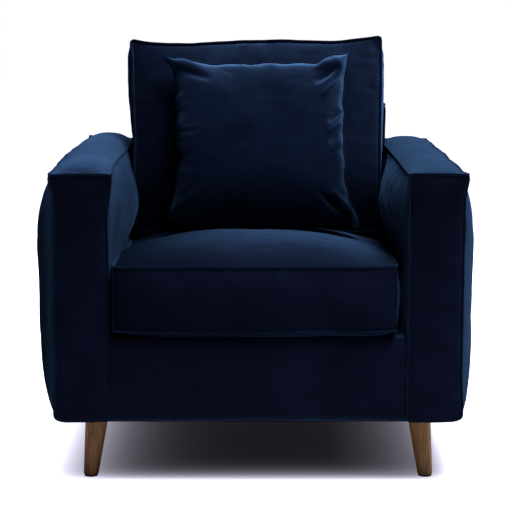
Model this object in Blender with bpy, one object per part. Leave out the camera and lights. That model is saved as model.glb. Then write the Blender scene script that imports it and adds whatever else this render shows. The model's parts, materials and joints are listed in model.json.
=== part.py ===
"""Upholstered armchair with box arms, three loose cushions and four tapered wooden legs.

Metres. X runs across the chair, the front faces -Y and Z is up. The origin is on the floor at the
centre of the footprint. "Left" is -X, the left side for someone who looks at the chair's front.
Run with: blender --background --python part.py
"""

import math

import bmesh
import bpy
from mathutils import Vector

# Driving dimensions of the outer shape, to the seams between the fabric panels
GAP = 0.0003  # clearance between pieces that touch
FRONT = -0.395  # front face of the arms and of the base
REAR = 0.395  # rear face of the arms and of the back
BASE = 0.138  # underside of the upholstery
ARM_TOP = 0.640
ARM_OUT = 0.410  # half the width over the arms' outer seams
ARM_IN = 0.3015  # half the width between the arms' inner seams
DECK_TOP = 0.3115  # the surface that the seat cushion lies on
BACK_TOP = 0.730  # top of the fixed back
RAKE = math.radians(9)  # lean of the inside back
BACK_FACE = 0.223  # where the inside back meets the deck, along Y

# Swell of the padded panels beyond their seams
ARM_OUTER_SWELL = 0.047
ARM_INNER_SWELL = 0.017
ARM_TOP_SWELL = 0.012
REAR_SWELL = 0.025

# Thickness of fabric with its padding over the frame
WALL = 0.012
ARM_INNER_WALL = 0.017
SKIN = 0.0025  # a loose cushion's cover

# Frame timber
RAIL_TOP = 0.290
RUNNER_LOW = 0.143
RUNNER_TOP = 0.1797
TIMBER = 0.025
CAVITY = 0.3825  # how far the frame reaches from the centre, along Y
SIDE_RAIL_IN = 0.2905
ARM_FRAME_IN = 0.3188
ARM_FRAME_OUT = 0.3938
WALL_FOOT = 0.302  # lower edge of the inner arm walls and of the inside back

# Seat cushion
SEAT_HALF = 0.291
SEAT_FRONT = -0.407
SEAT_REAR = 0.205
SEAT_LOW = 0.327
SEAT_HIGH = 0.454
SEAT_CROWN = 0.034
SEAT_SAG = 0.0145

# Back cushion, in its own leaning frame: up along its face and back through its thickness
BACK_CUSHION_FOOT = (0.0, 0.0935, 0.474)
BACK_CUSHION_HEIGHT = 0.414
BACK_CUSHION_DEPTH = 0.115
BACK_CUSHION_HALF_TOP = 0.292
BACK_CUSHION_HALF_FOOT = 0.282

# Scatter cushion, in its own leaning frame
SCATTER_FOOT = (-0.004, 0.002, 0.487)
SCATTER_LEAN = math.radians(16)
SCATTER_HALF = 0.208
SCATTER_HEIGHT = 0.392
SCATTER_EDGE = 0.0045  # half the thickness at its seam
SCATTER_FRONT_SWELL = 0.062
SCATTER_REAR_SWELL = 0.025

# Legs
LEG_TOP = 0.1385
LEG_TOP_RADIUS = 0.0252
LEG_FOOT_RADIUS = 0.0155
LEG_AT = (0.334, 0.293)  # centre of a leg's top
LEG_SPLAY = 0.0145  # how far the foot stands outside the top, along X and along Y
GLIDE = 0.0037
BOLT_RADIUS = 0.004
BOLT_LOW, BOLT_HIGH = 0.100, 0.174

# Springs
SPRING_WIRE = 0.0019
SPRING_HALF = 0.024
SPRING_BENDS = 17
SPRING_AT = (-0.213, -0.071, 0.071, 0.213)

# Zip sliders: body, neck and pull tab
ZIP_SLOT = 0.003
ZIP_TRAVEL = 0.40

CORNERS = {
    "front_left": (-1, -1),
    "front_right": (1, -1),
    "rear_left": (-1, 1),
    "rear_right": (1, 1),
}
SIDES = {"left": -1, "right": 1}


def clear_scene():
    for old in list(bpy.data.objects):
        bpy.data.objects.remove(old)


def collection(name):
    made = bpy.data.collections.new(name)
    bpy.context.scene.collection.children.link(made)
    return made


def material(name, colour, roughness, metallic=0.0):
    made = bpy.data.materials.new(name)
    made.use_nodes = True
    shader = made.node_tree.nodes["Principled BSDF"]
    shader.inputs["Base Color"].default_value = (*colour, 1.0)
    shader.inputs["Roughness"].default_value = roughness
    shader.inputs["Metallic"].default_value = metallic
    return made


clear_scene()
CHAIR = collection("armchair")
CUTTERS = collection("cutters")
VELVET = material("velvet", (0.010, 0.022, 0.075), 0.85)
DECK_CLOTH = material("deck_cloth", (0.012, 0.018, 0.045), 0.9)
UNDERSIDE_CLOTH = material("underside_cloth", (0.012, 0.012, 0.013), 0.95)
FOAM = material("filling", (0.80, 0.78, 0.70), 0.95)
WEBBING = material("webbing", (0.10, 0.09, 0.08), 0.9)
LEG_WOOD = material("leg_wood", (0.22, 0.115, 0.050), 0.5)
FRAME_WOOD = material("frame_wood", (0.55, 0.38, 0.22), 0.7)
STEEL = material("steel", (0.45, 0.45, 0.46), 0.35, 1.0)
ZIP_METAL = material("zip_metal", (0.30, 0.29, 0.27), 0.35, 1.0)
GLIDE_PLASTIC = material("glide_plastic", (0.025, 0.022, 0.020), 0.6)


# Builders of single pieces


def mesh_object(name, mesh, look, location=(0, 0, 0), rotation=(0, 0, 0), group=CHAIR):
    made = bpy.data.objects.new(name, mesh)
    made.location = location
    made.rotation_euler = rotation
    if look:
        mesh.materials.append(look)
    group.objects.link(made)
    return made


def from_bmesh(name, bm, look, location=(0, 0, 0), rotation=(0, 0, 0), group=CHAIR, smooth=False):
    bmesh.ops.recalc_face_normals(bm, faces=bm.faces)
    mesh = bpy.data.meshes.new(name)
    bm.to_mesh(mesh)
    bm.free()
    if smooth:
        mesh.shade_smooth()
        mesh.set_sharp_from_angle(angle=math.radians(40))
    return mesh_object(name, mesh, look, location, rotation, group)


def box(name, low, high, look, location=(0, 0, 0), rotation=(0, 0, 0), group=CHAIR):
    """A box between two corners, which are measured from `location` in the object's own axes."""
    low, high = Vector(low), Vector(high)
    bm = bmesh.new()
    bmesh.ops.create_cube(bm, size=1)
    for vert in bm.verts:
        vert.co = Vector((low[k] + high[k]) / 2 + vert.co[k] * (high[k] - low[k]) for k in range(3))
    return from_bmesh(name, bm, look, location, rotation, group)


def block(name, cuts, place, look, location=(0, 0, 0), rotation=(0, 0, 0), group=CHAIR):
    """A cube divided into a grid. `place` takes each point from the cube's -1 to 1 to metres."""
    bm = bmesh.new()
    bmesh.ops.create_cube(bm, size=2)
    for axis, count in enumerate(cuts):
        along = [e for e in bm.edges if abs(e.verts[0].co[axis] - e.verts[1].co[axis]) > 0.01]
        bmesh.ops.subdivide_edges(bm, edges=along, cuts=count, use_grid_fill=True)
    for vert in bm.verts:
        vert.co = place(*vert.co)
    # The same diagonals on a cover, its hollow and its filling keep the gaps between them even.
    bmesh.ops.triangulate(bm, faces=bm.faces, quad_method="FIXED")
    return from_bmesh(name, bm, look, location, rotation, group, smooth=True)


def cylinder(name, radius, low, high, look, at, group=CHAIR, segments=20):
    bm = bmesh.new()
    bmesh.ops.create_cone(
        bm, cap_ends=True, segments=segments, radius1=radius, radius2=radius, depth=high - low
    )
    middle = (at[0], at[1], (low + high) / 2)
    return from_bmesh(name, bm, look, middle, group=group, smooth=True)


def plate(name, outline, half_thickness, look, location=(0, 0, 0), rotation=(0, 0, 0)):
    """A flat outline in the object's XY plane, extruded both ways along its Z."""
    curve = bpy.data.curves.new(name, "CURVE")
    curve.dimensions = "2D"
    curve.fill_mode = "BOTH"
    curve.extrude = half_thickness
    spline = curve.splines.new("POLY")
    spline.points.add(len(outline) - 1)
    spline.use_cyclic_u = True
    for point, (x, y) in zip(spline.points, outline):
        point.co = (x, y, 0, 1)
    return mesh_object(name, curve, look, location, rotation)


def cut(target, cutter):
    """Takes `cutter` out of `target` and hides it from the render."""
    cutter.hide_render = True
    cutter.display_type = "WIRE"
    CHAIR.objects.unlink(cutter)
    CUTTERS.objects.link(cutter)
    boolean = target.modifiers.new("cut_" + cutter.name, "BOOLEAN")
    boolean.operation = "DIFFERENCE"
    boolean.object = cutter


# Shapes of the soft surfaces


def edge_fall(t):
    """1 over most of a panel and 0 at its seam, where t is -1 or 1."""
    return 1 - t**4


def side_profile(w):
    """Swell of an arm's outer panel by height: full just above the middle, slack towards the foot."""
    fullest = 0.18
    if w > fullest:
        return 1 - ((w - fullest) / (1 - fullest)) ** 4
    return 1 - ((fullest - w) / (1 + fullest)) ** 2


def hump(t):
    """A smooth rise and fall between t = 0 and t = 1."""
    return math.sin(math.pi * min(max(t, 0.0), 1.0))


def inner_arm_swell(y, z):
    """The inner arm pad swells above the seat cushion and in front of the back cushion."""
    front_to_cushion = (y - FRONT) / (0.14 - FRONT)
    seat_to_top = (z - 0.452) / (ARM_TOP - 0.452)
    return ARM_INNER_SWELL * hump(front_to_cushion) * hump(seat_to_top)


def seat_crown(u, v):
    """Height of the seat's top panel over its seams: highest at the front, pressed down behind."""
    pressed = 1 - 0.9 * max(0.0, (v + 0.25) / 1.25)
    return SEAT_CROWN * edge_fall(u) * edge_fall(v) * pressed


def back_face(z):
    """Y of the inside back at a height."""
    return BACK_FACE + (z - 0.31) * math.tan(RAKE)


# Fixed upholstery


def arm_cover(side_name, side):
    half = Vector(((ARM_OUT - ARM_IN) / 2, (REAR - FRONT) / 2, (ARM_TOP - BASE) / 2))
    centre = Vector(((ARM_OUT + ARM_IN) / 2, 0, (ARM_TOP + BASE) / 2))

    def place(u, v, w):
        x, y, z = u * half.x, v * half.y, w * half.z
        if u > 0.99:
            x += ARM_OUTER_SWELL * edge_fall(v) * side_profile(w)
        if u < -0.99:
            x -= inner_arm_swell(y, z + centre.z)
        if w > 0.99:
            z += ARM_TOP_SWELL * edge_fall(u) * edge_fall(v)
        if v > 0.99:
            y += 0.006 * edge_fall(u) * edge_fall(w)
        return Vector((side * x, y, z))

    location = (side * centre.x, 0, centre.z)
    cover = block(f"arm_cover_{side_name}", (3, 9, 9), place, VELVET, location)
    walls = sorted((side * (ARM_IN + ARM_INNER_WALL), side * (ARM_OUT - WALL)))
    hollow = box(
        f"arm_hollow_{side_name}",
        (walls[0], -CAVITY - GAP, BASE - 0.02),
        (walls[1], CAVITY + GAP, ARM_TOP - 0.014),
        None,
    )
    doorway = sorted((side * (ARM_IN - 0.05), side * (ARM_IN + 0.03)))
    opening = box(
        f"arm_doorway_{side_name}",
        (doorway[0], -CAVITY - GAP, BASE - 0.02),
        (doorway[1], CAVITY + GAP, WALL_FOOT),
        None,
    )
    cut(cover, hollow)
    cut(cover, opening)


def front_border():
    """The padded panel over the front rail, between the arms."""
    thickness = -CAVITY - GAP - FRONT
    height = DECK_TOP - BASE

    def place(u, v, w):
        y = v * thickness / 2
        if v < -0.99:
            y -= 0.003 * edge_fall(u) * edge_fall(w)
        return Vector((u * (ARM_IN - 0.0005), y, w * height / 2))

    location = (0, FRONT + thickness / 2, BASE + height / 2)
    block("front_border", (5, 0, 3), place, VELVET, location)


def back_cover():
    """A hood over the back frame: raked inside, upright outside, its outside panel down to the base."""
    half_width = ARM_IN - 0.001
    height = BACK_TOP - BASE

    def place(u, v, w):
        z = BASE + (w + 1) / 2 * height
        front, rear = back_face(z), REAR
        y = front + (v + 1) / 2 * (rear - front)
        if v > 0.99:
            y += REAR_SWELL * edge_fall(u) * side_profile(w)
        if w > 0.99:
            z += 0.006 * edge_fall(u) * edge_fall(v)
        return Vector((u * half_width, y, z - BASE))

    cover = block("back_cover", (5, 3, 7), place, VELVET, (0, 0, BASE))

    def hollow_place(u, v, w):
        z = WALL_FOOT - 0.006 + (w + 1) / 2 * (BACK_TOP - 0.014 - WALL_FOOT + 0.006)
        front = back_face(z) + 0.0145
        return Vector((u * (half_width - 0.008), front + (v + 1) / 2 * (CAVITY + GAP - front), z))

    hollow = block("back_hollow", (0, 0, 0), hollow_place, None)
    seat_side = box(
        "back_seat_side", (-0.4, 0.05, BASE - 0.02), (0.4, CAVITY + GAP, WALL_FOOT), None
    )
    cut(cover, hollow)
    cut(cover, seat_side)


def deck():
    """The padded cloth over the springs."""
    box(
        "deck_pad",
        (-ARM_IN + 0.001, -CAVITY, RAIL_TOP + 0.0075),
        (ARM_IN - 0.001, back_face(DECK_TOP) - 0.003, DECK_TOP),
        DECK_CLOTH,
    )


def dust_cover():
    cover = box(
        "dust_cover",
        (-ARM_OUT + WALL + 0.0005, -CAVITY, LEG_TOP + GAP),
        (ARM_OUT - WALL - 0.0005, CAVITY, LEG_TOP + 0.0018),
        UNDERSIDE_CLOTH,
    )
    for corner, (sx, sy) in CORNERS.items():
        at = (sx * LEG_AT[0], sy * LEG_AT[1])
        cut(cover, cylinder(f"dust_hole_{corner}", 0.006, 0.12, 0.16, None, at))


# Frame


def base_frame():
    for name, side in SIDES.items():
        runner_x = sorted((side * SIDE_RAIL_IN, side * ARM_FRAME_OUT))
        rail_x = sorted((side * SIDE_RAIL_IN, side * (SIDE_RAIL_IN + TIMBER)))
        runner = box(
            f"base_runner_{name}",
            (runner_x[0], -CAVITY, RUNNER_LOW),
            (runner_x[1], CAVITY, RUNNER_TOP),
            FRAME_WOOD,
        )
        for end in (-1, 1):
            at = (side * LEG_AT[0], end * LEG_AT[1])
            bore = cylinder(f"bore_{name}_{end}", BOLT_RADIUS + GAP, 0.13, 0.19, None, at)
            cut(runner, bore)
        box(
            f"side_rail_{name}",
            (rail_x[0], -CAVITY, RUNNER_TOP + GAP),
            (rail_x[1], CAVITY, RAIL_TOP),
            FRAME_WOOD,
        )
    for name, end in (("front", -1), ("rear", 1)):
        rail_y = sorted((end * CAVITY, end * (CAVITY - TIMBER)))
        box(
            f"{name}_rail",
            (-SIDE_RAIL_IN + GAP, rail_y[0], RUNNER_LOW),
            (SIDE_RAIL_IN - GAP, rail_y[1], RAIL_TOP),
            FRAME_WOOD,
        )


def corner_blocks():
    """Triangular blocks glued into the inner corners of the base."""
    leg, half_thickness = 0.070, 0.022
    for corner, (sx, sy) in CORNERS.items():
        inner_x = sx * (SIDE_RAIL_IN - GAP)
        inner_y = sy * (CAVITY - TIMBER - GAP)
        outline = [(0, 0), (-sx * leg, 0), (0, -sy * leg)]
        plate(
            f"corner_block_{corner}",
            outline,
            half_thickness,
            FRAME_WOOD,
            (inner_x, inner_y, RUNNER_LOW + 0.040 + half_thickness),
        )


def arm_frames():
    top_rail_low = ARM_TOP - 0.040
    board = 0.022
    for name, side in SIDES.items():
        across = sorted((side * ARM_FRAME_IN, side * ARM_FRAME_OUT))
        for place_name, end in (("front", -1), ("rear", 1)):
            along = sorted((end * CAVITY, end * (CAVITY - board)))
            box(
                f"arm_{place_name}_board_{name}",
                (across[0], along[0], RUNNER_TOP + GAP),
                (across[1], along[1], top_rail_low - GAP),
                FRAME_WOOD,
            )
        box(
            f"arm_top_rail_{name}",
            (across[0], -CAVITY, top_rail_low),
            (across[1], CAVITY, top_rail_low + TIMBER),
            FRAME_WOOD,
        )


def back_frame():
    """Raked posts beside the seat's side rails, two cross rails and three elastic webs."""
    foot = (0, back_face(0.31), 0.31)
    lean = (-RAKE, 0, 0)
    post_in, post_out = 0.2652, 0.2900
    near, far = 0.020, 0.062
    top = (BACK_TOP - 0.036 - foot[2]) / math.cos(RAKE)
    for name, side in SIDES.items():
        across = sorted((side * post_in, side * post_out))
        box(
            f"back_post_{name}", (across[0], near, -0.160), (across[1], far, top), FRAME_WOOD, foot, lean
        )
    inside = post_in - GAP
    box("back_top_rail", (-inside, near, top - 0.050), (inside, far, top), FRAME_WOOD, foot, lean)
    box("back_lower_rail", (-inside, near, 0.030), (inside, far, 0.080), FRAME_WOOD, foot, lean)
    for number, x in enumerate((-0.155, 0.0, 0.155), 1):
        box(
            f"back_web_{number}",
            (x - 0.035, near - 0.0025, 0.034),
            (x + 0.035, near - GAP, top - 0.004),
            WEBBING,
            foot,
            lean,
        )


def spring_path(end):
    """A zigzag along Y, from one straight end bar to the other, at y = -end and y = end."""
    wave_end = end - 0.016
    points = [(-SPRING_HALF, -end), (SPRING_HALF * 0.75, -end)]
    steps = SPRING_BENDS * 3
    for step in range(steps + 1):
        phase = math.pi * (step / 3 + 0.5)
        x = SPRING_HALF * max(-1.0, min(1.0, 1.25 * math.sin(phase)))
        y = -wave_end + 2 * wave_end * step / steps
        points.append((x, y))
    last = math.copysign(1, points[-1][0])
    points += [(last * SPRING_HALF * 0.75, end), (-last * SPRING_HALF, end)]
    return points


def springs():
    bar_at = CAVITY - 0.0135
    height = RAIL_TOP + GAP + 0.0012 + GAP + SPRING_WIRE
    for number, x in enumerate(SPRING_AT, 1):
        name = f"seat_spring_{number}"
        curve = bpy.data.curves.new(name, "CURVE")
        curve.dimensions = "3D"
        curve.bevel_depth = SPRING_WIRE
        curve.bevel_resolution = 1
        curve.use_fill_caps = True
        spline = curve.splines.new("POLY")
        path = spring_path(bar_at)
        spline.points.add(len(path) - 1)
        for point, (px, py) in zip(spline.points, path):
            point.co = (px, py, 0, 1)
        mesh_object(name, curve, STEEL, (x, 0, height))


def spring_channels():
    """U channels on the front and rear rails. Each holds the four springs' end bars."""
    sheet, mouth = 0.0012, 2 * SPRING_WIRE + 2 * GAP
    wall, lip, floor = -0.0052, 0.0030, -0.0052
    outline = [
        (lip, 0),
        (lip, sheet),
        (wall + sheet, sheet),
        (wall + sheet, sheet + mouth),
        (lip, sheet + mouth),
        (lip, 2 * sheet + mouth),
        (floor, 2 * sheet + mouth),
        (floor, 0),
    ]
    half_length = SPRING_AT[-1] + SPRING_HALF + 0.012
    for name, end in (("front", -1), ("rear", 1)):
        # The outline's x runs towards the seat's centre and its y upwards.
        shape = [(-end * x, y) for x, y in outline]
        plate(
            f"spring_channel_{name}",
            shape,
            half_length,
            STEEL,
            (0, end * (CAVITY - 0.0135 - 0.0009), RAIL_TOP + GAP),
            (math.pi / 2, 0, math.pi / 2),
        )


# Legs


def legs():
    height = LEG_TOP - GLIDE - GAP
    for corner, (sx, sy) in CORNERS.items():
        at = (sx * LEG_AT[0], sy * LEG_AT[1])
        bm = bmesh.new()
        bmesh.ops.create_cone(
            bm,
            cap_ends=True,
            segments=28,
            radius1=LEG_FOOT_RADIUS,
            radius2=LEG_TOP_RADIUS,
            depth=height,
        )
        for vert in bm.verts:
            below_top = 0.5 - vert.co.z / height
            vert.co.x += sx * LEG_SPLAY * below_top
            vert.co.y += sy * LEG_SPLAY * below_top
        middle = (at[0], at[1], LEG_TOP - height / 2)
        leg = from_bmesh(f"leg_{corner}", bm, LEG_WOOD, middle, smooth=True)
        hole_low = BOLT_LOW - GAP
        cut(leg, cylinder(f"leg_hole_{corner}", BOLT_RADIUS + GAP, hole_low, 0.16, None, at))
        cylinder(f"leg_bolt_{corner}", BOLT_RADIUS, BOLT_LOW, BOLT_HIGH, STEEL, at, segments=16)
        foot = (at[0] + sx * LEG_SPLAY, at[1] + sy * LEG_SPLAY)
        cylinder(f"leg_glide_{corner}", LEG_FOOT_RADIUS - 0.0015, 0, GLIDE, GLIDE_PLASTIC, foot, segments=24)


def leg_plates():
    """Steel mounting plates between the dust cover and the runners."""
    half = 0.028
    low, high = LEG_TOP + 0.0018 + GAP, RUNNER_LOW - GAP
    for corner, (sx, sy) in CORNERS.items():
        at = (sx * LEG_AT[0], sy * LEG_AT[1])
        metal = box(f"leg_plate_{corner}", (-half, -half, low), (half, half, high), STEEL, (*at, 0))
        cut(metal, cylinder(f"plate_hole_{corner}", BOLT_RADIUS + GAP, 0.12, 0.16, None, at))


# Loose cushions


def zip_slider(name, location, rotation):
    """Slider body, neck and pull tab in one casting. Its own Z points away from the cushion."""
    body = box(name, (-0.0055, -0.0040, 0.0), (0.0055, 0.0040, 0.0026), ZIP_METAL, location, rotation)
    for part_name, low, high in (
        ("neck", (-0.0045, -0.0009, 0.0020), (0.0010, 0.0009, 0.0034)),
        ("tab", (-0.0260, -0.0028, 0.0028), (-0.0035, 0.0028, 0.0040)),
    ):
        extra = box(f"{name}_{part_name}", low, high, None, location, rotation)
        extra.hide_render = True
        extra.display_type = "WIRE"
        CHAIR.objects.unlink(extra)
        CUTTERS.objects.link(extra)
        union = body.modifiers.new(part_name, "BOOLEAN")
        union.operation = "UNION"
        union.object = extra


def cushion(name, cuts, placer, slot, location, rotation=(0, 0, 0)):
    """A cover with a zip slot, and the filling inside it. `placer(inset)` gives a `place` function."""
    cover = block(f"{name}_cover", cuts, placer(0), VELVET, location, rotation)
    block(f"{name}_filling", cuts, placer(SKIN + GAP), FOAM, location, rotation)
    cut(cover, block(f"{name}_hollow", cuts, placer(SKIN), None, location, rotation))
    cut(cover, box(f"{name}_slot", *slot, None, location, rotation))


def seat_cushion():
    centre = (0, (SEAT_FRONT + SEAT_REAR) / 2, (SEAT_LOW + SEAT_HIGH) / 2)
    half_depth, half_height = (SEAT_REAR - SEAT_FRONT) / 2, (SEAT_HIGH - SEAT_LOW) / 2

    def placer(inset):
        def place(u, v, w):
            x, y = u * (SEAT_HALF - inset), v * (half_depth - inset)
            z = w * (half_height - inset)
            if abs(u) > 0.99:
                x += u * 0.007 * edge_fall(v) * edge_fall(w)
            if v < -0.99:
                y -= 0.013 * edge_fall(u) * edge_fall(w)
            if w > 0.99:
                z += seat_crown(u, v)
            if w < -0.99:
                z -= SEAT_SAG * edge_fall(u) * edge_fall(v)
            return Vector((x, y, z))

        return place

    reach = ZIP_TRAVEL / 2 + 0.02
    slot = (
        (-reach, half_depth - 0.01, -ZIP_SLOT / 2),
        (reach, half_depth + 0.01, ZIP_SLOT / 2),
    )
    cushion("seat_cushion", (7, 7, 3), placer, slot, centre)
    zip_slider(
        "seat_zip_slider",
        (ZIP_TRAVEL / 2, SEAT_REAR + GAP, centre[2]),
        (-math.pi / 2, 0, 0),
    )


def back_cushion():
    half_depth, half_height = BACK_CUSHION_DEPTH / 2, BACK_CUSHION_HEIGHT / 2

    def placer(inset):
        def place(u, v, w):
            rise = (w + 1) / 2
            half = BACK_CUSHION_HALF_FOOT + (BACK_CUSHION_HALF_TOP - BACK_CUSHION_HALF_FOOT) * rise
            x = u * (half - inset)
            y = half_depth + v * (half_depth - inset)
            z = half_height + w * (half_height - inset)
            if abs(u) > 0.99:
                x += u * 0.006 * edge_fall(v) * edge_fall(w)
            if abs(v) > 0.99:
                y += v * 0.028 * edge_fall(u) * edge_fall(w)
            if w > 0.99:
                z += 0.004 * edge_fall(u) * edge_fall(v)
            return Vector((x, y, z))

        return place

    reach = ZIP_TRAVEL / 2 + 0.02
    slot = (
        (-reach, half_depth - ZIP_SLOT / 2, -0.01),
        (reach, half_depth + ZIP_SLOT / 2, 0.01),
    )
    lean = (-RAKE, 0, 0)
    cushion("back_cushion", (7, 3, 7), placer, slot, BACK_CUSHION_FOOT, lean)
    foot = Vector(BACK_CUSHION_FOOT)
    through = Vector((0, math.cos(RAKE), -math.sin(RAKE)))
    up = Vector((0, math.sin(RAKE), math.cos(RAKE)))
    at = foot + through * half_depth - up * GAP + Vector((ZIP_TRAVEL / 2, 0, 0))
    zip_slider("back_zip_slider", at, (math.pi - RAKE, 0, 0))


def scatter_cushion():
    half_height = SCATTER_HEIGHT / 2

    def placer(inset):
        def place(u, v, w):
            pull_in = 0.012  # the sides draw in between the corners
            x = u * (SCATTER_HALF - inset - pull_in * edge_fall(w))
            z = half_height + w * (half_height - inset)
            y = v * (SCATTER_EDGE - inset)
            swell = SCATTER_FRONT_SWELL if v < 0 else SCATTER_REAR_SWELL
            if abs(v) > 0.99:
                y += v * swell * (1 - u * u) ** 0.7 * (1 - w * w) ** 0.7
            return Vector((x, y, z))

        return place

    travel = ZIP_TRAVEL - 0.08
    reach = travel / 2 + 0.02
    slot = ((-reach, -0.0008, -0.01), (reach, 0.0008, 0.01))
    lean = (-SCATTER_LEAN, 0, 0)
    cushion("scatter_cushion", (9, 0, 9), placer, slot, SCATTER_FOOT, lean)
    up = Vector((0, math.sin(SCATTER_LEAN), math.cos(SCATTER_LEAN)))
    at = Vector(SCATTER_FOOT) - up * GAP + Vector((travel / 2, 0, 0))
    zip_slider("scatter_zip_slider", at, (math.pi - SCATTER_LEAN, 0, 0))


def main():
    base_frame()
    corner_blocks()
    arm_frames()
    back_frame()
    springs()
    spring_channels()
    legs()
    leg_plates()
    for name, side in SIDES.items():
        arm_cover(name, side)
    front_border()
    back_cover()
    deck()
    dust_cover()
    seat_cushion()
    back_cushion()
    scatter_cushion()


main()
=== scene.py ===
import json
import math

import bmesh
import bpy
import numpy as np
from mathutils import Matrix, Vector, noise


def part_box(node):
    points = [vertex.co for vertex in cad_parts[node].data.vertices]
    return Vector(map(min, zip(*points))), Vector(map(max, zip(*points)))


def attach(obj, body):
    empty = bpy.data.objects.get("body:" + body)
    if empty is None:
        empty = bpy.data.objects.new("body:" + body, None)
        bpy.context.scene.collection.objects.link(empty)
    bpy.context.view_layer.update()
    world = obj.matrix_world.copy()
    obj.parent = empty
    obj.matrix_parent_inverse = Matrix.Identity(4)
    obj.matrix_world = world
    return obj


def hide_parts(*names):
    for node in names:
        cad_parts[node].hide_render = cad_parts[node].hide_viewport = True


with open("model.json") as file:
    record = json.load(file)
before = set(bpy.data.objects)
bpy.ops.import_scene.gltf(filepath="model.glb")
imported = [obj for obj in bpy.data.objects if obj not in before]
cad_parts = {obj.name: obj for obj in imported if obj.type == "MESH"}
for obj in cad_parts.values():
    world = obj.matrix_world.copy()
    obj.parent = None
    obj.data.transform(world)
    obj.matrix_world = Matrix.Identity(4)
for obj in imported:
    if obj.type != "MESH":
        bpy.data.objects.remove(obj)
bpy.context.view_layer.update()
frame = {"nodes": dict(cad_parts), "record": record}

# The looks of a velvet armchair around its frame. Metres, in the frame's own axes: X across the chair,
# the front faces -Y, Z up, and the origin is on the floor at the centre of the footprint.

# Fixed upholstery, to the seams between its panels
FRONT, REAR = -0.395, 0.395
BASE = 0.138  # its underside
ARM_TOP = 0.640
ARM_OUT, ARM_IN = 0.409, 0.3005  # the outer and inner seams of an arm, from the middle
BORDER_TOP = 0.311
BACK_TOP = 0.730
BACK_HALF = 0.3005
BACK_FACE = 0.223  # where the inside back meets the deck, along Y
RAKE = math.radians(9)  # lean of the inside back and of the back cushion
STRIP_EDGE = -0.285  # where the deck's velvet strip meets the lining, along Y

# Loose cushions. A foot is where the middle of a leaning cushion's lower front edge stands.
SEAT_LEFT, SEAT_RIGHT = -0.2905, 0.2765
SEAT_FRONT, SEAT_REAR = -0.407, 0.205
SEAT_LOW, SEAT_TOP = 0.327, 0.4545
SEAT_LOWEST = 0.3120  # how far its bottom may bulge
BACK_CUSHION_FOOT = (0, 0.0935, 0.474)
BACK_CUSHION_DEPTH, BACK_CUSHION_HEIGHT = 0.115, 0.4125
SCATTER_FOOT = (-0.004, 0.002, 0.4865)
SCATTER_LEAN = math.radians(14)
ZIP_LENGTH, SCATTER_ZIP_LENGTH = 0.44, 0.344

# Legs: the centres of their tops and feet, and their radii
LEG_TOP, LEG_FOOT = (0.334, 0.293), (0.3485, 0.3075)
LEG_TOP_RADIUS, LEG_FOOT_RADIUS = 0.0252, 0.0155

SPACING = 0.010  # size of the fabric's grid

SCENE = bpy.context.scene


# ---- materials


class Nodes:
    """A material's node tree, with short calls to add nodes and link them."""

    def __init__(self, name, **settings):
        self.material = bpy.data.materials.new(name)
        self.material.use_nodes = True
        self.tree = self.material.node_tree
        self.shader = self.tree.nodes["Principled BSDF"]
        for socket, value in settings.items():
            self.shader.inputs[socket.replace("_", " ")].default_value = value

    def feed(self, socket, value):
        """Links a socket to an output, or sets it to a plain value."""
        if hasattr(value, "links"):
            self.tree.links.new(value, socket)
        else:
            socket.default_value = value

    def add(self, kind, inputs=None, **settings):
        node = self.tree.nodes.new(kind)
        for key, value in settings.items():
            setattr(node, key, value)
        for key, value in (inputs or {}).items():
            self.feed(node.inputs[key], value)
        return node

    def place(self, scale=(1, 1, 1), turn=(0, 0, 0)):
        """Object coordinates in metres, stretched by `scale`."""
        where = self.add("ShaderNodeTexCoord").outputs["Object"]
        return self.add(
            "ShaderNodeMapping", {"Vector": where, "Scale": scale, "Rotation": turn}
        ).outputs[0]

    def noise(self, scale, detail=2.0, vector=None, distortion=0.0, rough=0.5):
        inputs = {"Scale": scale, "Detail": detail, "Distortion": distortion, "Roughness": rough}
        inputs["Vector"] = vector or self.place()
        return self.add("ShaderNodeTexNoise", inputs).outputs["Fac"]

    def ramp(self, value, *stops):
        """Colours (or greys) at positions along a value."""
        node = self.add("ShaderNodeValToRGB", {"Fac": value})
        elements = node.color_ramp.elements
        while len(elements) < len(stops):
            elements.new(0.5)
        for element, (position, colour) in zip(elements, stops):
            element.position = position
            grey = isinstance(colour, (int, float))
            element.color = (colour, colour, colour, 1) if grey else (*colour, 1)
        return node.outputs["Color"]

    def math(self, operation, a, b=0.0):
        node = self.add("ShaderNodeMath", operation=operation)
        for socket, value in zip(node.inputs, (a, b)):
            self.feed(socket, value)
        return node.outputs[0]

    def mix(self, fac, a, b, blend="MIX"):
        node = self.add("ShaderNodeMix", data_type="RGBA", blend_type=blend)
        for index, value in ((0, fac), (6, a), (7, b)):
            self.feed(node.inputs[index], (*value, 1) if isinstance(value, tuple) else value)
        return node.outputs[2]

    def bump(self, height, distance, strength=1.0, after=None):
        inputs = {"Height": height, "Distance": distance, "Strength": strength}
        if after:
            inputs["Normal"] = after
        return self.add("ShaderNodeBump", inputs).outputs[0]

    def sweep(self, axis, start, end, low):
        """A share that goes smoothly from `low` at `start` to 1 at `end` along an axis."""
        along = self.add("ShaderNodeSeparateXYZ", {0: self.place()}).outputs[axis]
        inputs = {"Value": along, "From Min": start, "From Max": end, "To Min": low}
        return self.add("ShaderNodeMapRange", inputs, interpolation_type="SMOOTHSTEP").outputs["Result"]

    def link(self, output, socket):
        self.tree.links.new(output, self.shader.inputs[socket])


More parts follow.
